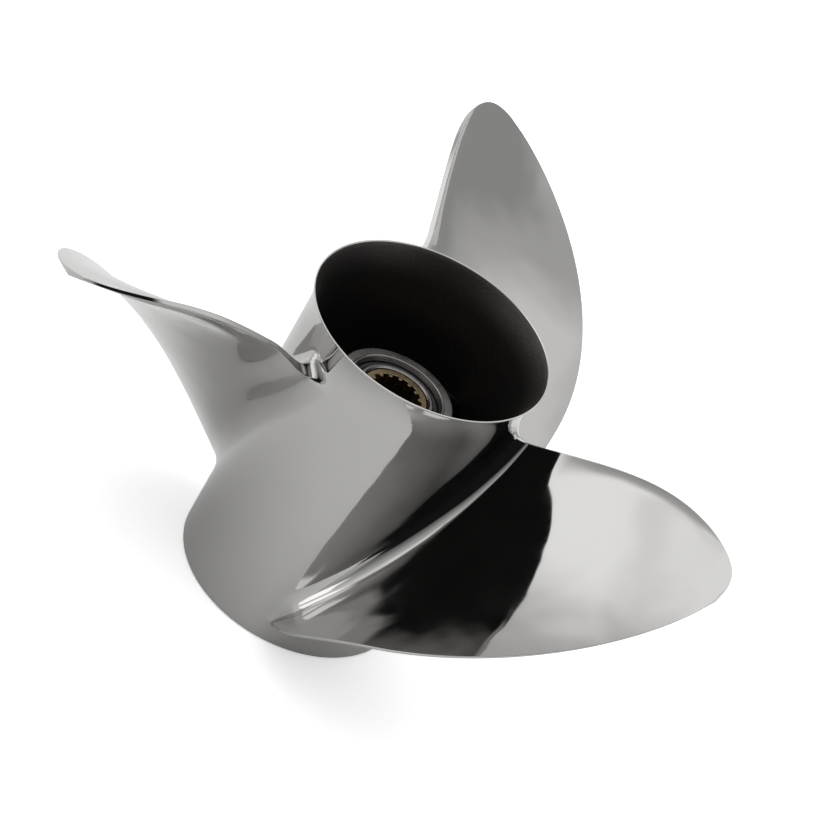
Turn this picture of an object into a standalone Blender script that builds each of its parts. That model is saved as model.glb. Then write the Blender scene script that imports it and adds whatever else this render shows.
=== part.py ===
"""A three-blade right-hand outboard propeller with through-hub exhaust.

It stands on the front rim of its hub. The origin is on the shaft's axis in the plane of that rim, and +Z
points aft, so the pressure faces of the blades look up. A positive angle is anticlockwise seen from aft.
"""

import math

import bmesh
import bpy
import numpy as np
from mathutils import Matrix

MM = 0.001
BLADES = 3
SECTOR = 2 * math.pi / BLADES

# Hub barrel, a tube that carries the exhaust and flares towards its rear rim. Its rear end is turned round.
HUB_LENGTH = 156.4 * MM
BARREL_RADIUS = 54.0 * MM
FRONT_EDGE = 1.6 * MM
TURNED_START = 147.0 * MM
ROWS_END = 149.5 * MM
FLARE_START = 139.0 * MM
FLARE_RISE = 3.0 * MM
FLARE_SHARPNESS = 2.2
RIM_WIDTH = 1.0 * MM
LIP_RADIUS = 54.6 * MM
LIP_Z = 152.4 * MM
THROAT_RADIUS = 51.2 * MM
THROAT_Z = 140.0 * MM
BARREL_BORE_RADIUS = 49.4 * MM

# Blade, as sections on cylinders round the shaft. The stations are shares of the way from root to tip.
ROOT_RADIUS = 52.9 * MM
TIP_RADIUS = 177.2 * MM
STATIONS = (0.0, 0.25, 0.5, 0.75, 1.0)
FULLNESS_DEG = (35.4, 36.3, 39.2, 39.9, 31.2)
MID_CHORD_DEG = (-48.5, -44.8, -41.6, -35.5, -24.2)
MID_CHORD_Z = (75.0 * MM, 95.7 * MM, 116.2 * MM, 136.3 * MM, 160.6 * MM)
PITCH = (618.0 * MM, 623.0 * MM, 617.0 * MM, 600.0 * MM, 570.0 * MM)
RAKE_ANGLE = math.radians(31)
ROOT_THICKNESS = 9.0 * MM
TIP_THICKNESS = 2.4 * MM
THINNING_POWER = 0.8
THICKEST_AFT = 0.25
LEADING_HALF = 0.7 * MM
ROOT_REACH = 9.0 * MM
REACH_SPAN = (-0.15, 0.2, 0.55)
TRAILING_HALF = 1.15 * MM
TRAILING_ROOT_HALF = 2.8 * MM
THICK_ROOT_SPAN = 0.22
TRAILING_CORNER = 0.5 * MM
EDGE_TAPER = 0.55
EDGE_TAPER_POWER = 5
ROOT_CURL = 4.0 * MM
CURL_SPAN = (0.07, 0.22)
CURL_SHARE = 0.6
CUP_DEPTH = 1.3 * MM
CUP_WIDTH = 6.0 * MM
CUP_SPAN = (0.15, 0.45, 0.75, 0.95)

# Fillets where a blade grows out of the barrel
PRESSURE_FILLET = 10.0 * MM
SUCTION_FILLET = 8.0 * MM
LEADING_FILLET = 3.0 * MM
NOSE_TAPER = 0.1
TRAILING_FILLET = 8.0 * MM
TRAILING_FILLET_POWER = 4
BAND_SHARE = 0.2
ABOVE_FILLETS = 1.25

# Boss that holds the drive parts, and the ribs that carry it in the barrel
BOSS_RADIUS = 28.0 * MM
BOSS_BORE_RADIUS = 21.4 * MM
BOSS_FRONT_Z = 8.0 * MM
BOSS_REAR_Z = 117.4 * MM
BOSS_CHAMFER = 0.8 * MM
RIB_THICKNESS = 6.0 * MM
RIB_FRONT_Z = 14.0 * MM
RIB_TOP = (27.0 * MM, 111.0 * MM), (33.5 * MM, 114.0 * MM), (50.4 * MM, 100.0 * MM)
RIB_ANGLE_DEG = 60.0

# Drive parts pressed into the boss: rubber bushing, steel sleeve and splined brass insert
GAP = 0.3 * MM
EDGE_BREAK = 0.6 * MM
BUSHING_FRONT_Z = 14.0 * MM
BUSHING_REAR_Z = 113.5 * MM
SLEEVE_RADIUS = 18.1 * MM
SLEEVE_BORE_RADIUS = 16.0 * MM
SLEEVE_FRONT_Z = 12.0 * MM
SLEEVE_REAR_Z = 116.4 * MM
INSERT_FRONT_Z = 13.0 * MM
INSERT_REAR_Z = 115.4 * MM
SPLINE_TEETH = 15
SPLINE_ROOT_RADIUS = 12.7 * MM
SPLINE_TIP_RADIUS = 11.0 * MM
TOOTH_FOOT_SHARE = 0.56
TOOTH_TOP_SHARE = 0.3

# Fineness of the mesh
SIDE_STEPS = 11
END_POINTS = 13
BLADE_ROWS = 13
TIP_SHARE = 0.04
FILLET_ROWS = 6
BARREL_RINGS = 4
FLARE_STEPS = 4
EDGE_STEPS = 3
TURN_STEPS = BLADES * (END_POINTS + 1)
SAME_POINT = 0.02 * MM
SHARP_EDGE = math.radians(35)


def material(name, colour, roughness, metallic):
    """A plain finish for one piece."""
    made = bpy.data.materials.new(name)
    made.use_nodes = True
    shader = made.node_tree.nodes["Principled BSDF"]
    shader.inputs["Base Color"].default_value = (*colour, 1.0)
    shader.inputs["Roughness"].default_value = roughness
    shader.inputs["Metallic"].default_value = metallic
    return made


def finished(name, bm, finish):
    """The named object that holds this mesh, shaded smooth except at its sharp edges."""
    bmesh.ops.recalc_face_normals(bm, faces=bm.faces)
    mesh = bpy.data.meshes.new(name)
    bm.to_mesh(mesh)
    bm.free()
    mesh.shade_smooth()
    mesh.set_sharp_from_angle(angle=SHARP_EDGE)
    mesh.materials.append(finish)
    made = bpy.data.objects.new(name, mesh)
    bpy.context.scene.collection.objects.link(made)
    return made


def through_stations(values, share):
    """The smooth curve through one value at each station."""
    return np.polyval(np.polyfit(STATIONS, values, len(STATIONS) - 1), share)


def smooth_step(low, high, value):
    part = np.clip((value - low) / (high - low), 0.0, 1.0)
    return part * part * (3 - 2 * part)


def barrel_radius(z):
    """Radius of the barrel's outside, which flares towards its rear rim."""
    part = np.clip((z - FLARE_START) / (HUB_LENGTH - FLARE_START), 0.0, 1.0)
    return BARREL_RADIUS + FLARE_RISE * part**FLARE_SHARPNESS


def cylinder_point(radius, angle, z):
    return np.stack(np.broadcast_arrays(radius * np.cos(angle), radius * np.sin(angle), z), axis=-1)


def section_loop():
    """One turn round a blade section: share of the chord from the nose, side, and turn of the normal.

    It runs up the pressure side from the trailing edge, round the nose and back along the suction side,
    then across the flat trailing edge. The side is 0 round the nose and across the trailing edge.
    """
    shares = [0.5 + 0.5 * math.cos(math.pi * step / SIDE_STEPS) for step in range(SIDE_STEPS + 1)]
    turns = [math.pi * (step + 1) / (END_POINTS + 1) for step in range(END_POINTS)]
    loop = [(share, 1, math.pi / 2) for share in shares]
    loop += [(0.0, 0, math.pi / 2 + turn) for turn in turns]
    loop += [(share, -1, -math.pi / 2) for share in reversed(shares)]
    loop += [(1.0, 0, turn - math.pi / 2) for turn in turns]
    return [np.array(column, float) for column in zip(*loop)]


def fillet_ring(share, side, turn, spread):
    """Height above the barrel, and way aft and aside, at a share of the way out over the fillet."""
    at_heel = np.where(side == 0, np.abs(np.cos(turn)), 0.0) ** TRAILING_FILLET_POWER
    at_nose = 1.0 - smooth_step(0.0, NOSE_TAPER, share)
    flank = np.where(np.sin(turn) > 0, PRESSURE_FILLET, SUCTION_FILLET)
    end = np.where(share > 0.5, TRAILING_FILLET, LEADING_FILLET)
    size = flank + (end - flank) * np.where(share > 0.5, at_heel, at_nose)
    height = size * (1.0 - np.sqrt(1.0 - (1.0 - spread) ** 2))
    outward = size * spread
    return height, outward * np.where(side == 0, np.cos(turn), 0.0), outward * np.sin(turn)


def cup_share(span):
    """How much of the trailing edge's cup there is along the span."""
    root, full, waning, tip = CUP_SPAN
    return smooth_step(root, full, span) * (1.0 - smooth_step(waning, tip, span))


def section_point(radius, share, side, turn, aft=0.0, aside=0.0):
    """Angle and height of points of the section loop on a cylinder, moved aft and aside along the blade."""
    span = np.clip((radius - ROOT_RADIUS) / (TIP_RADIUS - ROOT_RADIUS), 0.0, 1.0)
    half_angle = np.sqrt(1.0 - span) * np.radians(through_stations(FULLNESS_DEG, span))
    advance = through_stations(PITCH, span) / (2 * math.pi)
    helix = np.hypot(radius, advance)
    half_chord = half_angle * helix
    taper = 1.0 - EDGE_TAPER * span**EDGE_TAPER_POWER
    leading = LEADING_HALF * taper
    at_root = 1.0 - smooth_step(0.0, THICK_ROOT_SPAN, span)
    trailing = TRAILING_HALF * taper + (TRAILING_ROOT_HALF - TRAILING_HALF) * at_root
    corner = TRAILING_CORNER * taper

    # Along the chord from the nose, which reaches further forward near the root, to the heel, and across
    # it from one side to the other
    low, full, high = REACH_SPAN
    reach = ROOT_REACH * smooth_step(low, full, span) * (1.0 - smooth_step(full, high, span))
    nose = leading - half_chord - reach
    heel = half_chord - corner
    along = nose + (heel - nose) * share
    from_trailing = half_chord - along
    place = (along + reach / 2) / (half_chord + reach / 2)
    edge = leading + (trailing - leading) * share
    thickness = ROOT_THICKNESS + (TIP_THICKNESS - ROOT_THICKNESS) * span**THINNING_POWER
    bulge = (thickness - 2 * edge) * np.clip(1.0 - place**2, 0.0, 1.0) * (1.0 + THICKEST_AFT * place)
    cup = CUP_DEPTH * cup_share(span) * from_trailing / CUP_WIDTH * np.exp(1.0 - from_trailing / CUP_WIDTH)
    across = np.where(side > 0, edge, -edge - bulge)

    # Round the nose, then across the flat trailing edge with its rounded corners
    at_nose = (side == 0) & (share < 0.5)
    across = np.where(at_nose, leading * np.sin(turn), across)
    along = np.where(at_nose, nose + leading * np.cos(turn), along)
    way = turn / (math.pi / 2)
    bend = np.clip((np.abs(way) - BAND_SHARE) / (1.0 - BAND_SHARE), 0.0, 1.0) * math.pi / 2
    flat = np.clip(np.abs(way) / BAND_SHARE, 0.0, 1.0) * (trailing - corner)
    at_trailing = (side == 0) & (share > 0.5)
    across = np.where(at_trailing, np.sign(way) * (flat + corner * np.sin(bend)), across)
    along = np.where(at_trailing, heel + corner * np.cos(bend), along)

    # At the root the trailing edge curls to the suction side. The rake makes the blade thicker along the
    # cylinder than across its own face.
    curl = ROOT_CURL * (1.0 - smooth_step(*CURL_SPAN, span)) * smooth_step(CURL_SHARE, 1.0, share)
    across = (across - cup - curl) / math.cos(RAKE_ANGLE) + aside
    along = along + aft
    turned = (along * radius - across * advance) / helix
    raised = (along * advance + across * radius) / helix
    angle = np.radians(through_stations(MID_CHORD_DEG, span)) + turned / radius
    return angle, through_stations(MID_CHORD_Z, span) + raised


def blade_rows():
    """Closed rows of points from the tip down to the barrel, out over the fillet and across one sector."""
    share, side, turn = section_loop()
    top = BARREL_RADIUS + ABOVE_FILLETS * fillet_ring(share, side, turn, 0.0)[0].max()
    first = math.sqrt(1.0 - (top - ROOT_RADIUS) / (TIP_RADIUS - ROOT_RADIUS))
    rows = []
    for shrink in np.linspace(TIP_SHARE, first, BLADE_ROWS):
        radius = np.full_like(share, ROOT_RADIUS + (TIP_RADIUS - ROOT_RADIUS) * (1.0 - shrink**2))
        rows.append((radius, *section_point(radius, share, side, turn)))
    for bend in np.linspace(0.0, math.pi / 2, FILLET_ROWS):
        height, aft, aside = fillet_ring(share, side, turn, 1.0 - math.cos(bend))
        angle, z = section_point(BARREL_RADIUS + height, share, side, turn, aft, aside)
        z = np.minimum(z, TURNED_START)
        rows.append((barrel_radius(z) + height, angle, z))

    # Across the barrel, a point goes straight to its place on the sector's edge, along the blade's helix
    advance = PITCH[0] / (2 * math.pi)
    middle = math.radians(MID_CHORD_DEG[0])
    aside = angle - middle - (z - MID_CHORD_Z[0]) / advance
    sweep = np.where(share < 0.5, turn - math.pi, -turn) / (math.pi / 2)
    edge_aside = np.where(side == 0, sweep, -np.sign(side)) * SECTOR / 2
    edge_z = FRONT_EDGE + (ROWS_END - FRONT_EDGE) * share
    for ring in range(1, BARREL_RINGS + 1):
        part = ring / BARREL_RINGS
        ring_z = z + (edge_z - z) * part
        ring_aside = aside + (edge_aside - aside) * part
        ring_angle = ring_aside + middle + (ring_z - MID_CHORD_Z[0]) / advance
        rows.append((barrel_radius(ring_z), ring_angle, ring_z))
    return [cylinder_point(*row) for row in rows]


def extrude_row(bm, row, points):
    """Extrudes an ordered closed row of vertices to new points, and returns the new row."""
    edges = [bm.edges.get((one, other)) for one, other in zip(row, row[1:] + row[:1])]
    made = set(bmesh.ops.extrude_edge_only(bm, edges=edges)["geom"])
    new_row = []
    for old, point in zip(row, points):
        new = next(edge.other_vert(old) for edge in old.link_edges if edge.other_vert(old) in made)
        new.co = point
        new_row.append(new)
    return new_row


def blade_and_sector(bm):
    """One blade with its third of the barrel's outer surface."""
    tip, *rows = blade_rows()
    row = bmesh.ops.create_circle(bm, segments=len(tip), radius=1.0, cap_ends=True)["verts"]
    for vert, point in zip(row, tip):
        vert.co = point
    for points in rows:
        row = extrude_row(bm, row, points)


def open_row(bm, above):
    """The open row of vertices at one end of the barrel, in order round it."""
    ends = {
        vert
        for edge in bm.edges
        if edge.is_boundary
        for vert in edge.verts
        if (vert.co.z > HUB_LENGTH / 2) == above
    }
    return sorted(ends, key=lambda vert: math.atan2(vert.co.y, vert.co.x))


def turned_rows(bm, row, profile):
    """Extrudes a row round the axis through the (radius, z) points of a profile."""
    for radius, z in profile:
        angles = np.array([math.atan2(vert.co.y, vert.co.x) for vert in row])
        row = extrude_row(bm, row, cylinder_point(radius, angles, z))
    return row


def rear_profile():
    """Flare, rear rim and the barrel's inner wall, down to the front rim."""
    heights = np.linspace(ROWS_END, HUB_LENGTH, FLARE_STEPS + 1)[1:]
    flare = [(barrel_radius(z), z) for z in heights]
    rim = [(barrel_radius(HUB_LENGTH) - RIM_WIDTH, HUB_LENGTH), (LIP_RADIUS, LIP_Z)]
    return flare + rim + [(THROAT_RADIUS, THROAT_Z), (BARREL_BORE_RADIUS, 0.0)]


def front_profile():
    """Rounded outer edge of the front rim."""
    centre = BARREL_RADIUS - FRONT_EDGE
    bends = [math.pi / 2 * (step + 1) / EDGE_STEPS for step in range(EDGE_STEPS)]
    return [(centre + FRONT_EDGE * math.cos(b), FRONT_EDGE * (1 - math.sin(b))) for b in bends]


def hub_and_blades():
    """Barrel and blades as one closed skin."""
    bm = bmesh.new()
    blade_and_sector(bm)
    one = bm.verts[:] + bm.edges[:] + bm.faces[:]
    for blade in range(1, BLADES):
        copy = bmesh.ops.duplicate(bm, geom=one)["geom"]
        verts = [item for item in copy if isinstance(item, bmesh.types.BMVert)]
        bmesh.ops.rotate(bm, cent=(0, 0, 0), matrix=Matrix.Rotation(blade * SECTOR, 3, "Z"), verts=verts)
    bmesh.ops.remove_doubles(bm, verts=bm.verts, dist=SAME_POINT)
    rear = open_row(bm, above=True)
    front = open_row(bm, above=False)
    inner = turned_rows(bm, rear, rear_profile())
    outer = turned_rows(bm, front, front_profile())
    rims = {edge for row in (inner, outer) for vert in row for edge in vert.link_edges if edge.is_boundary}
    bmesh.ops.bridge_loops(bm, edges=list(rims))
    return bm


def ring_solid(angles, profile):
    """A closed ring through the (radius, z) points of a profile. A radius may change with the angle."""
    bm = bmesh.new()
    row = bmesh.ops.create_circle(bm, segments=len(angles), radius=1.0)["verts"]
    for vert, point in zip(row, cylinder_point(profile[0][0], angles, profile[0][1])):
        vert.co = point
    for radius, z in profile[1:]:
        row = extrude_row(bm, row, cylinder_point(radius, angles, z))
    bmesh.ops.bridge_loops(bm, edges=[edge for edge in bm.edges if edge.is_boundary])
    return bm


def tube(outer, bore, front_z, rear_z, cut):
    """A tube round the axis with its four edges chamfered."""
    corners = [(outer, front_z + cut), (outer, rear_z - cut), (outer - cut, rear_z), (bore + cut, rear_z)]
    corners += [(bore, rear_z - cut), (bore, front_z + cut), (bore + cut, front_z), (outer - cut, front_z)]
    return ring_solid(np.arange(TURN_STEPS) * 2 * math.pi / TURN_STEPS, corners)


def rib(angle):
    """A rib from inside the boss's wall to inside the barrel's. Its rear edge falls from a hump."""
    bm = bmesh.new()
    bmesh.ops.create_cube(bm, size=2.0)
    along = [edge for edge in bm.edges if abs(edge.verts[0].co.x - edge.verts[1].co.x) > 1]
    bmesh.ops.subdivide_edges(bm, edges=along, cuts=1, use_grid_fill=True)
    for vert in bm.verts:
        radius, rear_z = RIB_TOP[round(vert.co.x) + 1]
        vert.co = (radius, vert.co.y * RIB_THICKNESS / 2, rear_z if vert.co.z > 0 else RIB_FRONT_Z)
    bmesh.ops.rotate(bm, cent=(0, 0, 0), matrix=Matrix.Rotation(angle, 3, "Z"), verts=bm.verts)
    return bm


def helper(name, bm, finish):
    """A solid that is only joined to another one."""
    made = finished(name, bm, finish)
    made.hide_render = True
    made.display_type = "WIRE"
    return made


def propeller_casting(finish):
    """Barrel, blades, boss and ribs, cast in one piece."""
    casting = finished("propeller_casting", hub_and_blades(), finish)
    boss = tube(BOSS_RADIUS, BOSS_BORE_RADIUS, BOSS_FRONT_Z, BOSS_REAR_Z, BOSS_CHAMFER)
    joined = [helper("boss_shape", boss, finish)]
    for number in range(BLADES):
        angle = math.radians(RIB_ANGLE_DEG) + number * SECTOR
        joined.append(helper(f"rib_shape_{number + 1}", rib(angle), finish))
    for shape in joined:
        union = casting.modifiers.new(shape.name, "BOOLEAN")
        union.operation = "UNION"
        union.object = shape


def splined_insert(finish):
    """Brass tube with straight-sided internal teeth, which run out in its end faces."""
    foot, top = TOOTH_FOOT_SHARE / 2, TOOTH_TOP_SHARE / 2
    root_radius, tip_radius = SPLINE_ROOT_RADIUS, SPLINE_TIP_RADIUS
    shares = np.array([-foot, -top, top, foot])
    angles = (np.arange(SPLINE_TEETH)[:, None] + shares).ravel() * 2 * math.pi / SPLINE_TEETH
    bore = np.tile([root_radius, tip_radius, tip_radius, root_radius], SPLINE_TEETH)
    outer, low, high, cut = SLEEVE_BORE_RADIUS - GAP, INSERT_FRONT_Z, INSERT_REAR_Z, EDGE_BREAK
    profile = [(outer, low + cut), (outer, high - cut), (outer - cut, high), (root_radius + cut, high)]
    profile += [(bore, high - cut / 2), (bore, low + cut / 2), (root_radius + cut, low), (outer - cut, low)]
    finished("splined_insert", ring_solid(angles, profile), finish)


def main():
    for thing in list(bpy.data.objects):
        bpy.data.objects.remove(thing)
    steel = material("polished_stainless", (0.62, 0.61, 0.60), 0.12, 1.0)
    sleeve_steel = material("turned_steel", (0.50, 0.50, 0.50), 0.35, 1.0)
    rubber = material("black_rubber", (0.02, 0.02, 0.02), 0.8, 0.0)
    brass = material("brass", (0.42, 0.35, 0.22), 0.35, 1.0)
    propeller_casting(steel)
    bushing = tube(BOSS_BORE_RADIUS - GAP, SLEEVE_RADIUS + GAP, BUSHING_FRONT_Z, BUSHING_REAR_Z, EDGE_BREAK)
    finished("rubber_bushing", bushing, rubber)
    sleeve = tube(SLEEVE_RADIUS, SLEEVE_BORE_RADIUS, SLEEVE_FRONT_Z, SLEEVE_REAR_Z, EDGE_BREAK)
    finished("bushing_sleeve", sleeve, sleeve_steel)
    splined_insert(brass)


main()
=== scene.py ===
"""Looks of a polished stainless outboard propeller: three right-hand blades on an exhaust barrel."""

import math

import bmesh
import bpy
import numpy as np
from mathutils import Matrix, Vector


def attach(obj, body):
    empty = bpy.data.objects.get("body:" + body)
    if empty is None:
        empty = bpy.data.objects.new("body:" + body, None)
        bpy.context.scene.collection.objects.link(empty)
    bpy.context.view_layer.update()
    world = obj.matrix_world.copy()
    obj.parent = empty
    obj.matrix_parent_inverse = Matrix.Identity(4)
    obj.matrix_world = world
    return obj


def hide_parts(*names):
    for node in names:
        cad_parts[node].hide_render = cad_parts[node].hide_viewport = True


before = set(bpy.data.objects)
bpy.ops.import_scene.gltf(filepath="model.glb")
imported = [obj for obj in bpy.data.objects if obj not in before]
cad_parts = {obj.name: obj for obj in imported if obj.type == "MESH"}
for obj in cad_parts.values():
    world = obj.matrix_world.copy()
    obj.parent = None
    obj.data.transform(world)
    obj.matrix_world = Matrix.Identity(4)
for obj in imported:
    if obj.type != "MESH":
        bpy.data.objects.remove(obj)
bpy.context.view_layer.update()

MM = 0.001
BLADES = 3
SECTOR = 2 * math.pi / BLADES

# Hub barrel: rounded at the front, turned at the rear, with a flare and a bore that narrows to the front
HUB_LENGTH = 156.4 * MM
BARREL_RADIUS = 54.0 * MM
FRONT_EDGE = 1.6 * MM
TURNED_START = 147.0 * MM
ROWS_END = 149.5 * MM
FLARE_START = 139.0 * MM
FLARE_RISE = 3.0 * MM
FLARE_SHARPNESS = 2.2
RIM_WIDTH = 1.0 * MM
RIM_EDGE = 0.3 * MM
# How far inside its corner the middle of the rounded rim edge lies, as a share of the edge
RIM_EDGE_MIDDLE = 0.3
THROAT_RADIUS = 51.2 * MM
THROAT_Z = 140.0 * MM
THROAT_CURVE = 1.8
BARREL_BORE_RADIUS = 49.4 * MM

# Blade, as sections on cylinders round the shaft, at shares of the way from root to tip
ROOT_RADIUS = 52.9 * MM
TIP_RADIUS = 177.2 * MM
STATIONS = (0.0, 0.25, 0.5, 0.75, 1.0)
FULLNESS_DEG = (35.4, 36.3, 39.2, 39.9, 31.2)
MID_CHORD_DEG = (-48.5, -44.8, -41.6, -35.5, -24.2)
MID_CHORD_Z = (75.0 * MM, 95.7 * MM, 116.2 * MM, 136.3 * MM, 160.6 * MM)
PITCH = (618.0 * MM, 623.0 * MM, 617.0 * MM, 600.0 * MM, 570.0 * MM)
RAKE_ANGLE = math.radians(31)
ROOT_THICKNESS = 9.0 * MM
TIP_THICKNESS = 2.4 * MM
THINNING_POWER = 0.8
THICKEST_AFT = 0.25

# Edges of a blade. The leading one reaches forward near the root; the trailing one is thick and curls there
LEADING_HALF = 0.7 * MM
ROOT_REACH = 9.0 * MM
REACH_SPAN = (-0.15, 0.2, 0.55)
TRAILING_HALF = 1.15 * MM
TRAILING_ROOT_HALF = 2.8 * MM
THICK_ROOT_SPAN = 0.22
TRAILING_CORNER = 0.5 * MM
FLAT_SHARE = 0.2
EDGE_TAPER = 0.55
EDGE_TAPER_POWER = 5
ROOT_CURL = 4.0 * MM
CURL_SPAN = (0.07, 0.22)
CURL_SHARE = 0.6
CUP_DEPTH = 1.3 * MM
CUP_WIDTH = 6.0 * MM
CUP_GROWTH = (0.15, 0.45)
CUP_END = (0.75, 0.95)

# Fillets where a blade grows out of the barrel
PRESSURE_FILLET = 10.0 * MM
PRESSURE_NOSE_SHARE = 0.85
PRESSURE_GROWTH = (0.05, 0.5)
SUCTION_FILLET = 8.0 * MM
LEADING_FILLET = 3.0 * MM
NOSE_TAPER = 0.1
TRAILING_FILLET = 8.0 * MM
TRAILING_FILLET_POWER = 4
ABOVE_FILLETS = 1.25

# Boss and ribs in the barrel
BOSS_RADIUS = 28.0 * MM
BOSS_BORE_RADIUS = 21.4 * MM
BOSS_FRONT_Z = 8.0 * MM
BOSS_REAR_Z = 117.4 * MM
BOSS_CHAMFER = 0.8 * MM
BORE_CHAMFER = 0.96 * MM
BORE_CHAMFER_DEPTH = 1.6 * MM
GROOVE_RADIUS = 23.2 * MM
GROOVE_HALF = 0.4 * MM
RIB_THICKNESS = 6.0 * MM
RIB_FRONT_Z = 14.0 * MM
RIB_TOP = (26.0 * MM, 111.0 * MM), (33.5 * MM, 114.0 * MM), (50.4 * MM, 100.0 * MM)
RIB_ROUNDING = 2.2 * MM
RIB_ANGLE = math.radians(60)

# Drive parts in the boss
GAP = 0.3 * MM
BUSHING_FRONT_Z = 14.0 * MM
BUSHING_REAR_Z = 115.4 * MM
SLEEVE_RADIUS = 18.1 * MM
SLEEVE_BORE_RADIUS = 16.0 * MM
SLEEVE_FRONT_Z = 12.0 * MM
SLEEVE_REAR_Z = 117.0 * MM
INSERT_FRONT_Z = 13.0 * MM
INSERT_REAR_Z = 116.4 * MM
SPLINE_TEETH = 15
SPLINE_ROOT_RADIUS = 12.7 * MM
SPLINE_TIP_RADIUS = 11.0 * MM
TOOTH_FOOT_SHARE = 0.56
TOOTH_TOP_SHARE = 0.3
EDGE_BREAK = 0.6 * MM

# Fineness of the meshes
SIDE_STEPS = 44
END_POINTS = 35
BLADE_ROWS = 64
TIP_SHARE = 0.012
FILLET_ROWS = 21
BARREL_RINGS = 18
TURN_STEPS = BLADES * (END_POINTS + 1)
FLARE_RINGS = 10
INNER_RINGS = 8
FRONT_EDGE_RINGS = 6
RIB_EDGE_SEGMENTS = 8
VALLEY_STEPS = 4
MERGE_DISTANCE = 0.005 * MM
SHARP_EDGE = math.radians(30)

# Slots of the casting's finishes: first the polished or turned one, then the as-cast one, darkened with
# painted shade
WORKED = 0
AS_CAST = 1

# Middle of a noise's range, where nearly all its values lie
NOISE_MIDDLE = (0.35, 0.65)
# Distance between the crests of the Wave Texture node's rings at scale 1
WAVE_PERIOD = math.pi / 10
# Tool marks of the turned steel, coarser than the real feed so that they show
TOOL_MARKS = 0.6 * MM

# Camera, from the photograph
CAMERA_ELEVATION = math.radians(36.56)
CAMERA_ROLL = math.radians(30.44)
CAMERA_DISTANCE = 1956.0 * MM
CAMERA_AIM_Z = 78.0 * MM
CAMERA_REACH = 50.0
FOCAL_PIXELS = 4361.3
AIM_PIXEL = (360.1, 453.4)
FRAME_PIXELS = 828
SENSOR = 36.0

# Studio, in metres. Each panel: azimuth from the camera's side, half its width and its soft edge in degrees,
# the same three upwards, and its radiance
STUDIO_BASE = 0.62
STUDIO_PANELS = (
    (0, 180, 1, 90, 28, 14, 1.3),
    (-92, 12, 26, 32, 10, 26, 1.4),
    (180, 25, 25, 32, 12, 15, 1.15),
    (78, 22, 22, 30, 14, 14, 1.0),
    (143, 9, 14, 11, 14, 10, 0.43),
    (0, 15, 45, -20, 55, 15, 0.2),
    (78, 28, 10, -30, 38, 6, 0.15),
    (20, 31, 11, -40, 76, 8, 0.012),
    (-30, 40, 10, -33, 16, 8, 0.82),
    (-37, 29, 5, -9, 6, 4, 0.58),
    (-58, 10, 4, -2, 5.5, 1.5, 1.9),
    (-91, 9, 6, 0, 5, 2, 1.8),
)
STAGE_REACH = 6.0
TABLE_FRONT_Y = -0.42
TABLE_Z = -1 * MM
BACKDROP_RADIUS = 9.0
SOFTBOX_SIZE = 3.0
SOFTBOX_HEIGHT = 2.4
SOFTBOX_RADIANCE = 0.9
PAPER_ROUGHNESS = 0.9
# Light of its own that the white floor gives back, so that the shadow stays faint as in the photograph
FLOOR_LIFT = 0.5


def linear(hex_colour):
    """Linear RGBA of an sRGB hex colour."""
    channels = [int(hex_colour[start : start + 2], 16) / 255 for start in (1, 3, 5)]
    return (*[c / 12.92 if c <= 0.04045 else ((c + 0.055) / 1.055) ** 2.4 for c in channels], 1.0)


def add_node(tree, kind, settings=None, *values, **inputs):
    """A node with its settings. Its sockets, in order or by name, take values or the sockets they link to."""
    made = tree.nodes.new(kind)
    for name, value in (settings or {}).items():
        setattr(made, name, value)
    named = [(name.replace("_", " "), value) for name, value in inputs.items()]
    for key, value in [*enumerate(values), *named]:
        if isinstance(value, bpy.types.NodeSocket):
            tree.links.new(value, made.inputs[key])
        else:
            made.inputs[key].default_value = value
    return made


def new_material(name):
    """An empty material and its node tree."""
    made = bpy.data.materials.new(name)
    made.use_nodes = True
    made.node_tree.nodes.clear()
    return made, made.node_tree


def close_material(made, shader):
    """The material, with its shader led to the surface."""
    surface = add_node(made.node_tree, "ShaderNodeOutputMaterial").inputs["Surface"]
    made.node_tree.links.new(shader.outputs[0], surface)
    return made


def real_size_noise(tree, size, detail=2.0, stretch=(1, 1, 1), spread=None):
    """Noise with features of a real size, its middle stretched from one value of spread to the other."""
    place = add_node(tree, "ShaderNodeTexCoord").outputs["Object"]
    scaled = add_node(tree, "ShaderNodeMapping", None, Vector=place, Scale=[way / size for way in stretch])
    noise = add_node(tree, "ShaderNodeTexNoise", None, scaled.outputs["Vector"], Scale=1.0, Detail=detail)
    if spread is None:
        return noise.outputs["Fac"]
    ends = (*NOISE_MIDDLE, *spread)
    return add_node(tree, "ShaderNodeMapRange", None, noise.outputs["Fac"], *ends).outputs["Result"]


def polished_stainless():
    """Hand-polished casting: a mirror, with the slow ripple that bends reflections and a haze from wiping."""
    made, tree = new_material("polished_stainless")
    ripple = add_node(tree, "ShaderNodeBump", Height=real_size_noise(tree, 22 * MM, 1.0), Distance=0.36 * MM)
    haze = real_size_noise(tree, 35 * MM, 4.0, spread=(0.05, 0.085))
    shader = add_node(
        tree,
        "ShaderNodeBsdfPrincipled",
        Base_Color=linear("#BDBCBA"),
        Metallic=1.0,
        Roughness=haze,
        Normal=ripple.outputs["Normal"],
    )
    return close_material(made, shader)


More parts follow.
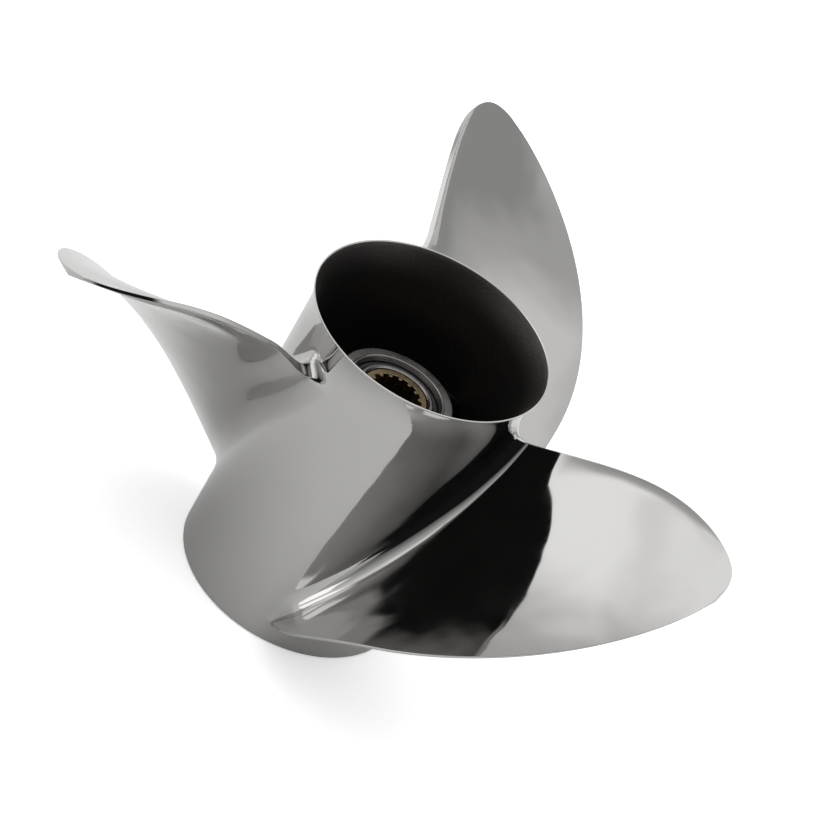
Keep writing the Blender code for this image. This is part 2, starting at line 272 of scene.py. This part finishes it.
def as_cast_stainless_painted_shade():
    """As-cast stainless inside the barrel: its colour darkened with painted shade, a little browner in random
    patches, with a grain that breaks the light up.
    """
    made, tree = new_material("as_cast_stainless_painted_shade")
    stain = real_size_noise(tree, 30 * MM, 3.0, spread=(0.0, 1.0))
    # Both greys lie far below the steel's own colour: painted shade of the barrel's insides, mixed in random
    # patches.
    colours = {"A": linear("#4C4A49"), "B": linear("#575350")}
    tint = add_node(tree, "ShaderNodeMix", {"data_type": "RGBA"}, stain, **colours)
    grain = add_node(tree, "ShaderNodeBump", Height=real_size_noise(tree, 1.6 * MM, 3.0), Distance=0.1 * MM)
    shader = add_node(
        tree,
        "ShaderNodeBsdfPrincipled",
        Base_Color=tint.outputs["Result"],
        Metallic=1.0,
        Roughness=0.48,
        Normal=grain.outputs["Normal"],
    )
    return close_material(made, shader)


def turned_steel():
    """Lathe-turned face: fine rings round the shaft smear the highlights outwards."""
    made, tree = new_material("turned_steel")
    place = add_node(tree, "ShaderNodeTexCoord").outputs["Object"]
    rings = {"wave_type": "RINGS", "rings_direction": "Z", "wave_profile": "SIN"}
    scale = WAVE_PERIOD / TOOL_MARKS
    marks = add_node(tree, "ShaderNodeTexWave", rings, Vector=place, Scale=scale, Distortion=0.3)
    groove = add_node(tree, "ShaderNodeBump", Height=marks.outputs["Fac"], Distance=0.02 * MM)
    worn = real_size_noise(tree, 9 * MM, 3.0, spread=(0.24, 0.36))
    shader = add_node(
        tree,
        "ShaderNodeBsdfPrincipled",
        Base_Color=linear("#8F8D8B"),
        Metallic=1.0,
        Roughness=worn,
        Normal=groove.outputs["Normal"],
    )
    return close_material(made, shader)


def moulded_rubber():
    """Pressed rubber bushing: near black, with a soft matt bloom."""
    made, tree = new_material("moulded_rubber")
    bloom = real_size_noise(tree, 6 * MM, 3.0, spread=(0.55, 0.75))
    skin = add_node(tree, "ShaderNodeBump", Height=real_size_noise(tree, 0.8 * MM), Distance=0.05 * MM)
    shader = add_node(
        tree,
        "ShaderNodeBsdfPrincipled",
        Base_Color=linear("#161618"),
        Roughness=bloom,
        Normal=skin.outputs["Normal"],
    )
    return close_material(made, shader)


def broached_brass():
    """Aged brass insert: broaching lines along the bore and a brown tarnish in patches."""
    made, tree = new_material("broached_brass")
    tarnish = real_size_noise(tree, 5 * MM, 3.0, spread=(0.0, 1.0))
    colours = {"A": linear("#7D6E58"), "B": linear("#97866A")}
    tint = add_node(tree, "ShaderNodeMix", {"data_type": "RGBA"}, tarnish, **colours)
    lines = real_size_noise(tree, 0.7 * MM, stretch=(1, 1, 0.05))
    broaching = add_node(tree, "ShaderNodeBump", Height=lines, Distance=0.04 * MM)
    shader = add_node(
        tree,
        "ShaderNodeBsdfPrincipled",
        Base_Color=tint.outputs["Result"],
        Metallic=1.0,
        Roughness=0.34,
        Normal=broaching.outputs["Normal"],
    )
    return close_material(made, shader)


def through_stations(values, span):
    """The smooth curve through one value at each station."""
    return np.polyval(np.polyfit(STATIONS, values, len(STATIONS) - 1), span)


def smooth_step(low, high, value):
    """A soft step from 0 at the low end to 1 at the high end."""
    part = np.clip((value - low) / (high - low), 0.0, 1.0)
    return part * part * (3 - 2 * part)


def barrel_radius(z):
    """Radius of the barrel's outside, which flares towards its rear rim."""
    part = np.clip((z - FLARE_START) / (HUB_LENGTH - FLARE_START), 0.0, 1.0)
    return BARREL_RADIUS + FLARE_RISE * part**FLARE_SHARPNESS


def cylinder_point(radius, angle, z):
    """Points from their radius, their angle round the shaft and their height."""
    return np.stack(np.broadcast_arrays(radius * np.cos(angle), radius * np.sin(angle), z), axis=-1)


def section_loop():
    """One turn round a blade section: share of the chord from the nose, side, and turn of the normal."""
    shares = [0.5 + 0.5 * math.cos(math.pi * step / SIDE_STEPS) for step in range(SIDE_STEPS + 1)]
    turns = [math.pi * (step + 1) / (END_POINTS + 1) for step in range(END_POINTS)]
    loop = [(share, 1, math.pi / 2) for share in shares]
    loop += [(0.0, 0, math.pi / 2 + turn) for turn in turns]
    loop += [(share, -1, -math.pi / 2) for share in reversed(shares)]
    loop += [(1.0, 0, turn - math.pi / 2) for turn in turns]
    return [np.array(column, float) for column in zip(*loop)]


def quarter_fall(part):
    """Height left on a concave quarter circle, at a share of the way out from its top to its foot."""
    return 1.0 - np.sqrt(1.0 - (1.0 - part) ** 2)


def fillet_ring(share, side, turn, spread):
    """The loop at a share of the way out over its fillet: height above the barrel, and way aft and aside."""
    facing = np.where(side == 0, np.abs(np.cos(turn)), 0.0)
    growth = smooth_step(*PRESSURE_GROWTH, share)
    pressure = PRESSURE_FILLET * (PRESSURE_NOSE_SHARE + (1.0 - PRESSURE_NOSE_SHARE) * growth)
    flank = np.where(np.sin(turn) > 0, pressure, SUCTION_FILLET)
    end = np.where(share > 0.5, TRAILING_FILLET, LEADING_FILLET)
    nose = 1.0 - smooth_step(0.0, NOSE_TAPER, share)
    size = flank + (end - flank) * np.where(share > 0.5, facing**TRAILING_FILLET_POWER, nose)
    outward = size * spread
    aft = outward * np.where(side == 0, np.cos(turn), 0.0)
    aside = outward * np.sin(turn)
    return size * quarter_fall(spread), aft, aside


def trailing_half(span, taper):
    """Half the thickness of the trailing edge, which is thick near the root."""
    thick = 1.0 - smooth_step(0.0, THICK_ROOT_SPAN, span)
    return TRAILING_HALF * taper + (TRAILING_ROOT_HALF - TRAILING_HALF) * thick


def cup_and_curl(span, share, from_trailing):
    """How far the section bends to its suction side: a cup along the trailing edge, a curl at the root."""
    cup_share = smooth_step(*CUP_GROWTH, span) * (1.0 - smooth_step(*CUP_END, span))
    cup = CUP_DEPTH * cup_share * from_trailing / CUP_WIDTH * np.exp(1.0 - from_trailing / CUP_WIDTH)
    curl = ROOT_CURL * (1.0 - smooth_step(*CURL_SPAN, span)) * smooth_step(CURL_SHARE, 1.0, share)
    return cup, curl


def section_outline(span, share, side, turn, half_chord):
    """Place along the chord and across it of the section loop, from its middle."""
    taper = 1.0 - EDGE_TAPER * span**EDGE_TAPER_POWER
    leading = LEADING_HALF * taper
    trailing = trailing_half(span, taper)
    corner = TRAILING_CORNER * taper
    low, full, high = REACH_SPAN
    reach = ROOT_REACH * smooth_step(low, full, span) * (1.0 - smooth_step(full, high, span))
    nose = leading - half_chord - reach
    heel = half_chord - corner
    along = nose + (heel - nose) * share
    cup, curl = cup_and_curl(span, share, half_chord - along)

    # The pressure side is flat and the suction side bulges, most a little aft of the middle
    place = (along + reach / 2) / (half_chord + reach / 2)
    edge = leading + (trailing - leading) * share
    thickness = ROOT_THICKNESS + (TIP_THICKNESS - ROOT_THICKNESS) * span**THINNING_POWER
    bulge = (thickness - 2 * edge) * np.clip(1.0 - place**2, 0.0, 1.0) * (1.0 + THICKEST_AFT * place)
    across = np.where(side > 0, edge, -edge - bulge)

    # The nose is round, and the trailing edge is a flat band between two rounded corners
    at_nose = (side == 0) & (share < 0.5)
    at_trailing = (side == 0) & (share > 0.5)
    across = np.where(at_nose, leading * np.sin(turn), across)
    along = np.where(at_nose, nose + leading * np.cos(turn), along)
    way = turn / (math.pi / 2)
    round_corner = np.clip((np.abs(way) - FLAT_SHARE) / (1.0 - FLAT_SHARE), 0.0, 1.0) * math.pi / 2
    flat = np.clip(np.abs(way) / FLAT_SHARE, 0.0, 1.0) * (trailing - corner)
    across = np.where(at_trailing, np.sign(way) * (flat + corner * np.sin(round_corner)), across)
    along = np.where(at_trailing, heel + corner * np.cos(round_corner), along)
    return along, across - cup - curl


def section_point(radius, share, side, turn, aft=0.0, aside=0.0):
    """Angle and height of points of the section loop on a cylinder, moved aft and aside along the blade."""
    span = np.clip((radius - ROOT_RADIUS) / (TIP_RADIUS - ROOT_RADIUS), 0.0, 1.0)
    half_angle = np.sqrt(1.0 - span) * np.radians(through_stations(FULLNESS_DEG, span))
    advance = through_stations(PITCH, span) / (2 * math.pi)
    helix = np.hypot(radius, advance)
    along, across = section_outline(span, share, side, turn, half_angle * helix)
    along = along + aft
    across = across / math.cos(RAKE_ANGLE) + aside
    turned = (along * radius - across * advance) / helix
    raised = (along * advance + across * radius) / helix
    angle = np.radians(through_stations(MID_CHORD_DEG, span)) + turned / radius
    return angle, through_stations(MID_CHORD_Z, span) + raised


def blade_rows():
    """Closed rows of (radius, angle, z) from the blade's tip down to the barrel and out over the fillet."""
    share, side, turn = section_loop()
    height = fillet_ring(share, side, turn, 0.0)[0]
    above = BARREL_RADIUS + ABOVE_FILLETS * height.max()
    last = math.sqrt(1.0 - (above - ROOT_RADIUS) / (TIP_RADIUS - ROOT_RADIUS))
    rows = []
    for shrink in np.linspace(TIP_SHARE, last, BLADE_ROWS):
        radius = np.full_like(share, ROOT_RADIUS + (TIP_RADIUS - ROOT_RADIUS) * (1.0 - shrink**2))
        rows.append((radius, *section_point(radius, share, side, turn)))
    for bend in np.linspace(0.0, math.pi / 2, FILLET_ROWS):
        height, aft, aside = fillet_ring(share, side, turn, 1.0 - math.cos(bend))
        angle, z = section_point(BARREL_RADIUS + height, share, side, turn, aft, aside)
        z = np.minimum(z, TURNED_START)
        rows.append((barrel_radius(z) + height, angle, z))
    return rows


def sector_rows(angle, z):
    """Closed rows from the foot of the fillet out over one sector of the barrel, along the blade's helix."""
    share, side, turn = section_loop()
    advance = PITCH[0] / (2 * math.pi)
    middle = math.radians(MID_CHORD_DEG[0])
    aside = angle - (middle + (z - MID_CHORD_Z[0]) / advance)
    sweep = np.where(share < 0.5, turn - math.pi, -turn) / (math.pi / 2)
    edge_aside = np.where(side == 0, sweep, -side) * SECTOR / 2
    edge_z = FRONT_EDGE + (ROWS_END - FRONT_EDGE) * share
    rows = []
    for ring in range(1, BARREL_RINGS + 1):
        part = ring / BARREL_RINGS
        ring_z = z + (edge_z - z) * part
        ring_aside = aside + (edge_aside - aside) * part
        ring_angle = ring_aside + middle + (ring_z - MID_CHORD_Z[0]) / advance
        rows.append((barrel_radius(ring_z), ring_angle, ring_z))
    return rows


def extrude_row(bm, row, points, finish=WORKED):
    """Extrudes an ordered closed row of vertices to new points, and returns the new row."""
    edges = [bm.edges.get((one, other)) for one, other in zip(row, row[1:] + row[:1])]
    geometry = bmesh.ops.extrude_edge_only(bm, edges=edges)["geom"]
    made = set(geometry)
    for item in geometry:
        if isinstance(item, bmesh.types.BMFace):
            item.material_index = finish
    new_row = []
    for old, point in zip(row, points):
        new = next(edge.other_vert(old) for edge in old.link_edges if edge.other_vert(old) in made)
        new.co = point
        new_row.append(new)
    return new_row


def blade_and_sector(bm):
    """One blade with its third of the barrel's outer surface."""
    rows = blade_rows()
    foot_angle, foot_z = rows[-1][1:]
    tip, *others = [cylinder_point(*row) for row in rows + sector_rows(foot_angle, foot_z)]
    row = bmesh.ops.create_circle(bm, segments=len(tip), radius=1.0, cap_ends=True)["verts"]
    for vert, point in zip(row, tip):
        vert.co = point
    for points in others:
        row = extrude_row(bm, row, points)


def open_row(bm, above):
    """The open row of vertices at one end of the barrel, in order round it."""
    ends = {
        vert
        for edge in bm.edges
        if edge.is_boundary
        for vert in edge.verts
        if (vert.co.z > HUB_LENGTH / 2) == above
    }
    return sorted(ends, key=lambda vert: math.atan2(vert.co.y, vert.co.x))


def turned_rows(bm, row, profile):
    """Extrudes a row round the axis through the (radius, z, finish) points of a profile."""
    for radius, z, finish in profile:
        angles = [math.atan2(vert.co.y, vert.co.x) for vert in row]
        points = [(radius * math.cos(angle), radius * math.sin(angle), z) for angle in angles]
        row = extrude_row(bm, row, points, finish)
    return row


def rear_profile():
    """Flare, rear rim and the barrel's inner wall, down to the front rim."""
    rim = BARREL_RADIUS + FLARE_RISE
    rim_bore = rim - RIM_WIDTH
    shoulder_z = HUB_LENGTH - RIM_EDGE
    heights = np.linspace(ROWS_END, shoulder_z, FLARE_RINGS + 1)[1:]
    profile = [(float(barrel_radius(z)), z, WORKED) for z in heights]
    profile.append((rim - RIM_EDGE * RIM_EDGE_MIDDLE, HUB_LENGTH - RIM_EDGE * RIM_EDGE_MIDDLE, WORKED))
    profile += [(rim - RIM_EDGE, HUB_LENGTH, WORKED), (rim_bore + RIM_EDGE, HUB_LENGTH, WORKED)]
    profile.append((rim_bore, shoulder_z, WORKED))
    parts = [step / INNER_RINGS for step in range(1, INNER_RINGS + 1)]
    for part in parts:
        narrowed = (THROAT_RADIUS - rim_bore) * (1 - (1 - part) ** THROAT_CURVE)
        profile.append((rim_bore + narrowed, shoulder_z + (THROAT_Z - shoulder_z) * part, AS_CAST))
    for part in parts:
        radius = THROAT_RADIUS + (BARREL_BORE_RADIUS - THROAT_RADIUS) * part
        profile.append((radius, THROAT_Z * (1 - part), AS_CAST))
    return profile


def front_profile():
    """Rounded outer edge of the front rim."""
    centre = BARREL_RADIUS - FRONT_EDGE
    profile = []
    for ring in range(1, FRONT_EDGE_RINGS + 1):
        bend = math.pi / 2 * ring / FRONT_EDGE_RINGS
        profile.append((centre + FRONT_EDGE * math.cos(bend), FRONT_EDGE * (1 - math.sin(bend)), WORKED))
    return profile


def mesh_object(name, bm, finishes=()):
    """An object of the scene with the bmesh as its mesh and the finishes in its slots."""
    mesh = bpy.data.meshes.new(name)
    bm.to_mesh(mesh)
    bm.free()
    for finish in finishes:
        mesh.materials.append(finish)
    made = bpy.data.objects.new(name, mesh)
    bpy.context.scene.collection.objects.link(made)
    return made


def piece_from(name, bm, finishes, node):
    """The finished piece, riding on the body and standing for its CAD node."""
    made = mesh_object(name, bm, finishes)
    made.data.shade_smooth()
    made.data.set_sharp_from_angle(angle=SHARP_EDGE)
    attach(made, "root")
    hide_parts(node)
    return made


def barrel_and_blades(finishes):
    """The hub barrel, closed with its rims and inner wall, and the three blades that grow out of it."""
    bm = bmesh.new()
    blade_and_sector(bm)
    one = bm.verts[:] + bm.edges[:] + bm.faces[:]
    for blade in range(1, BLADES):
        copy = bmesh.ops.duplicate(bm, geom=one)["geom"]
        verts = [item for item in copy if isinstance(item, bmesh.types.BMVert)]
        bmesh.ops.rotate(bm, cent=(0, 0, 0), matrix=Matrix.Rotation(blade * SECTOR, 3, "Z"), verts=verts)
    bmesh.ops.remove_doubles(bm, verts=bm.verts, dist=MERGE_DISTANCE)
    rear = open_row(bm, above=True)
    front = open_row(bm, above=False)
    inner = turned_rows(bm, rear, rear_profile())
    outer = turned_rows(bm, front, front_profile())
    rims = [edge for row in (inner, outer) for vert in row for edge in vert.link_edges if edge.is_boundary]
    bmesh.ops.bridge_loops(bm, edges=list(dict.fromkeys(rims)))
    bmesh.ops.recalc_face_normals(bm, faces=bm.faces)
    return piece_from("casting_barrel_and_blades", bm, finishes, "propeller_casting")


def ring_solid(angles, profile):
    """A closed ring through a profile of (radius, z, finish); a radius may change with the angle."""
    bm = bmesh.new()
    row = bmesh.ops.create_circle(bm, segments=len(angles), radius=1.0)["verts"]
    radius, z, closing_finish = profile[0]
    for vert, point in zip(row, cylinder_point(radius, angles, z)):
        vert.co = point
    for radius, z, finish in profile[1:]:
        row = extrude_row(bm, row, cylinder_point(radius, angles, z), finish)
    ends = [edge for edge in bm.edges if edge.is_boundary]
    for face in bmesh.ops.bridge_loops(bm, edges=ends)["faces"]:
        face.material_index = closing_finish
    bmesh.ops.recalc_face_normals(bm, faces=bm.faces)
    return bm


def even_angles():
    """Even steps round the shaft."""
    return np.arange(TURN_STEPS) * 2 * math.pi / TURN_STEPS


def broken_tube(outer, bore, front_z, rear_z):
    """Profile of a tube with its four edges broken."""
    cut = EDGE_BREAK
    corners = [(outer, front_z + cut), (outer, rear_z - cut), (outer - cut, rear_z), (bore + cut, rear_z)]
    corners += [(bore, rear_z - cut), (bore, front_z + cut), (bore + cut, front_z), (outer - cut, front_z)]
    return [(radius, z, WORKED) for radius, z in corners]


def rib():
    """One rib from the boss into the barrel's wall, with rounded edges; its rear end falls from a hump."""
    bm = bmesh.new()
    bmesh.ops.create_cube(bm, size=2.0)
    along = [edge for edge in bm.edges if abs(edge.verts[0].co.x - edge.verts[1].co.x) > 1]
    bmesh.ops.subdivide_edges(bm, edges=along, cuts=1, use_grid_fill=True)
    for vert in bm.verts:
        radius, rear_z = RIB_TOP[round(vert.co.x) + 1]
        vert.co = (radius, vert.co.y * RIB_THICKNESS / 2, rear_z if vert.co.z > 0 else RIB_FRONT_Z)
    lengthwise = [edge for edge in bm.edges if abs(edge.verts[0].co.x - edge.verts[1].co.x) > RIB_ROUNDING]
    bmesh.ops.bevel(
        bm,
        geom=lengthwise,
        offset=RIB_ROUNDING,
        affect="EDGES",
        segments=RIB_EDGE_SEGMENTS,
        profile=0.5,
        material=-1,
    )
    for face in bm.faces:
        face.material_index = AS_CAST
    return bm


def united(name, base, others):
    """The mesh of solids joined into one."""
    made = [mesh_object(name, bm) for bm in (base, *others)]
    for other in made[1:]:
        union = made[0].modifiers.new("union", "BOOLEAN")
        union.operation = "UNION"
        union.solver = "EXACT"
        union.object = other
    joined = bmesh.new()
    joined.from_object(made[0], bpy.context.evaluated_depsgraph_get())
    for each in made:
        bpy.data.objects.remove(each)
    return joined


def boss_profile():
    """Profile of the boss, with a groove in its rear face."""
    outer, bore, cut = BOSS_RADIUS, BOSS_BORE_RADIUS, BOSS_CHAMFER
    front_z, rear_z = BOSS_FRONT_Z, BOSS_REAR_Z
    profile = [(outer, front_z + cut, AS_CAST), (outer, rear_z - cut, AS_CAST)]
    worked = [(outer - cut, rear_z)]
    worked += [(GROOVE_RADIUS + GROOVE_HALF, rear_z), (GROOVE_RADIUS, rear_z - GROOVE_HALF)]
    worked += [(GROOVE_RADIUS - GROOVE_HALF, rear_z)]
    worked += [(bore + BORE_CHAMFER, rear_z), (bore, rear_z - BORE_CHAMFER_DEPTH)]
    worked += [(bore, front_z + cut), (bore + cut, front_z), (outer - cut, front_z)]
    return profile + [(radius, z, WORKED) for radius, z in worked]


def boss_and_ribs(finishes):
    """The inner hub that holds the bushing, turned on its rear face, and the three ribs that carry it."""
    ribs = []
    for turn in range(BLADES):
        made = rib()
        spun = Matrix.Rotation(RIB_ANGLE + turn * SECTOR, 3, "Z")
        bmesh.ops.rotate(made, cent=(0, 0, 0), matrix=spun, verts=made.verts)
        ribs.append(made)
    joined = united("casting_boss_and_ribs", ring_solid(even_angles(), boss_profile()), ribs)
    return piece_from("casting_boss_and_ribs", joined, finishes, "propeller_casting")


def bushing(finish):
    """Rubber ring between the boss and the sleeve."""
    outer, bore = BOSS_BORE_RADIUS - GAP, SLEEVE_RADIUS + GAP
    bm = ring_solid(even_angles(), broken_tube(outer, bore, BUSHING_FRONT_Z, BUSHING_REAR_Z))
    return piece_from("moulded_bushing", bm, [finish], "rubber_bushing")


def sleeve(finish):
    """Steel tube that carries the insert."""
    tube = broken_tube(SLEEVE_RADIUS, SLEEVE_BORE_RADIUS, SLEEVE_FRONT_Z, SLEEVE_REAR_Z)
    bm = ring_solid(even_angles(), tube)
    return piece_from("turned_sleeve", bm, [finish], "bushing_sleeve")


def splined_hub(finish):
    """Brass insert with straight-sided teeth round its bore."""
    foot, top = TOOTH_FOOT_SHARE / 2, TOOTH_TOP_SHARE / 2
    valley = np.linspace(foot, 1.0 - foot, VALLEY_STEPS + 1)[1:-1]
    shares = np.array([-foot, -top, 0.0, top, foot, *valley])
    depths = np.where(np.abs(shares) <= top, 1.0, 0.0)
    angles = (np.arange(SPLINE_TEETH)[:, None] + shares).ravel() * 2 * math.pi / SPLINE_TEETH
    bore = SPLINE_ROOT_RADIUS - (SPLINE_ROOT_RADIUS - SPLINE_TIP_RADIUS) * np.tile(depths, SPLINE_TEETH)
    mouth = SPLINE_ROOT_RADIUS + EDGE_BREAK
    outer, front_z, rear_z, cut = SLEEVE_BORE_RADIUS - GAP, INSERT_FRONT_Z, INSERT_REAR_Z, EDGE_BREAK
    corners = [(outer, front_z + cut), (outer, rear_z - cut), (outer - cut, rear_z)]
    corners += [(mouth, rear_z), (bore + cut / 2, rear_z), (bore, rear_z - cut / 2)]
    corners += [(bore, front_z + cut / 2), (bore + cut / 2, front_z), (mouth, front_z)]
    corners += [(outer - cut, front_z)]
    bm = ring_solid(angles, [(radius, z, WORKED) for radius, z in corners])
    return piece_from("broached_insert", bm, [finish], "splined_insert")


def make_camera():
    """The photograph's camera, which looks at a point of the shaft's axis away from the frame's middle."""
    back = Vector((0, -math.cos(CAMERA_ELEVATION), math.sin(CAMERA_ELEVATION)))
    side = Vector((1, 0, 0))
    up = back.cross(side)
    right = side * math.cos(CAMERA_ROLL) + up * math.sin(CAMERA_ROLL)
    above = up * math.cos(CAMERA_ROLL) - side * math.sin(CAMERA_ROLL)
    turned = Matrix((right, above, back)).transposed().to_quaternion()
    centre = FRAME_PIXELS / 2
    aim = Vector(((AIM_PIXEL[0] - centre) / FOCAL_PIXELS, (centre - AIM_PIXEL[1]) / FOCAL_PIXELS, -1.0))
    turned = turned @ aim.rotation_difference(Vector((0, 0, -1)))
    data = bpy.data.cameras.new("camera")
    data.sensor_width = SENSOR
    data.lens = SENSOR * FOCAL_PIXELS / FRAME_PIXELS
    data.clip_end = CAMERA_REACH
    camera = bpy.data.objects.new("camera", data)
    bpy.context.scene.collection.objects.link(camera)
    camera.rotation_mode = "QUATERNION"
    camera.rotation_quaternion = turned
    camera.location = Vector((0, 0, CAMERA_AIM_Z)) + back * CAMERA_DISTANCE
    bpy.context.scene.camera = camera


def heading(azimuth):
    """Level direction at an azimuth in degrees: 0 is towards the camera and 90 to its right."""
    turn = math.radians(azimuth)
    return (math.sin(turn), -math.cos(turn), 0.0)


def soft_mask(tree, angle, half, soft):
    """1 within half an opening of the middle, falling softly to 0; the angle comes in degrees."""
    off = add_node(tree, "ShaderNodeMath", {"operation": "ABSOLUTE"}, angle).outputs[0]
    smooth = {"interpolation_type": "SMOOTHSTEP"}
    return add_node(tree, "ShaderNodeMapRange", smooth, off, half, half + soft, 1.0, 0.0).outputs["Result"]


def studio_light(tree):
    """Radiance from each direction: panels painted over each other, as a studio round the table."""
    dot, degrees = {"operation": "DOT_PRODUCT"}, {"operation": "DEGREES"}
    aim = add_node(tree, "ShaderNodeTexCoord").outputs["Generated"]
    height = add_node(tree, "ShaderNodeSeparateXYZ", Vector=aim).outputs["Z"]
    level = add_node(tree, "ShaderNodeMath", {"operation": "ARCSINE"}, height).outputs[0]
    level = add_node(tree, "ShaderNodeMath", degrees, level).outputs[0]
    light = STUDIO_BASE
    for azimuth, half, soft, rise, rise_half, rise_soft, radiance in STUDIO_PANELS:
        ahead = add_node(tree, "ShaderNodeVectorMath", dot, aim, heading(azimuth)).outputs["Value"]
        beside = add_node(tree, "ShaderNodeVectorMath", dot, aim, heading(azimuth + 90)).outputs["Value"]
        turn = add_node(tree, "ShaderNodeMath", {"operation": "ARCTAN2"}, beside, ahead).outputs[0]
        turn = add_node(tree, "ShaderNodeMath", degrees, turn).outputs[0]
        above = add_node(tree, "ShaderNodeMath", {"operation": "SUBTRACT"}, level, rise).outputs[0]
        mask = soft_mask(tree, turn, half, soft)
        mask_up = soft_mask(tree, above, rise_half, rise_soft)
        mask = add_node(tree, "ShaderNodeMath", {"operation": "MULTIPLY"}, mask, mask_up).outputs[0]
        painted = add_node(tree, "ShaderNodeMix", {"data_type": "FLOAT"}, mask, A=light, B=radiance)
        light = painted.outputs["Result"]
    return light


def make_world():
    """The studio as light from all round."""
    world = bpy.data.worlds.new("studio")
    bpy.context.scene.world = world
    world.use_nodes = True
    background = world.node_tree.nodes["Background"]
    background.inputs["Color"].default_value = linear("#FFFFFF")
    world.node_tree.links.new(studio_light(world.node_tree), background.inputs["Strength"])


def stage_sheet(name, front_y, height, finish):
    """A level sheet of the stage. It starts in front at front_y and runs far out on the other sides."""
    bm = bmesh.new()
    bmesh.ops.create_grid(bm, x_segments=1, y_segments=1, size=STAGE_REACH)
    for vert in bm.verts:
        vert.co.y = max(vert.co.y, front_y)
        vert.co.z = height
    sheet = mesh_object(name, bm, [finish])
    return sheet


def make_floor():
    """White floor, which lifts its own shadow and isn't mirrored in the metal."""
    made, tree = new_material("lit_floor")
    white = linear("#F3F3F3")
    shader = add_node(
        tree,
        "ShaderNodeBsdfPrincipled",
        Base_Color=white,
        Roughness=PAPER_ROUGHNESS,
        Emission_Color=white,
        Emission_Strength=FLOOR_LIFT,
    )
    floor = stage_sheet("floor", -STAGE_REACH, 0.0, close_material(made, shader))
    floor.visible_glossy = False
    floor.visible_diffuse = False


def make_table():
    """Pale table under the floor, which shows in the reflections and not to the camera."""
    made, tree = new_material("table_paper")
    grey = linear("#EDEDED")
    shader = add_node(tree, "ShaderNodeBsdfPrincipled", Base_Color=grey, Roughness=PAPER_ROUGHNESS)
    table = stage_sheet("table_top", TABLE_FRONT_Y, TABLE_Z, close_material(made, shader))
    table.visible_camera = False


def make_backdrop():
    """White backdrop, which only the camera sees."""
    made, tree = new_material("white_backdrop")
    shader = add_node(tree, "ShaderNodeEmission", Color=linear("#F9F9F9"), Strength=1.0)
    bm = bmesh.new()
    bmesh.ops.create_uvsphere(bm, u_segments=32, v_segments=16, radius=BACKDROP_RADIUS)
    backdrop = mesh_object("backdrop", bm, [close_material(made, shader)])
    for kind in ("visible_diffuse", "visible_glossy", "visible_transmission", "visible_shadow"):
        setattr(backdrop, kind, False)


def make_softbox():
    """Square softbox overhead, which lights the floor and the insides and isn't seen itself."""
    lamp = bpy.data.lights.new("overhead_softbox", "AREA")
    lamp.shape = "RECTANGLE"
    lamp.size = SOFTBOX_SIZE
    lamp.size_y = SOFTBOX_SIZE
    lamp.energy = SOFTBOX_RADIANCE * math.pi * SOFTBOX_SIZE**2
    softbox = bpy.data.objects.new("overhead_softbox", lamp)
    softbox.location = (0.0, 0.0, SOFTBOX_HEIGHT)
    bpy.context.scene.collection.objects.link(softbox)
    softbox.visible_camera = False
    softbox.visible_glossy = False


bpy.context.scene.view_settings.view_transform = "Standard"
make_camera()
make_world()
make_floor()
make_table()
make_backdrop()
make_softbox()

turned_finish = turned_steel()
shaded_cast_finish = as_cast_stainless_painted_shade()
barrel_and_blades([polished_stainless(), shaded_cast_finish])
boss_and_ribs([turned_finish, shaded_cast_finish])
bushing(moulded_rubber())
sleeve(turned_finish)
splined_hub(broached_brass())
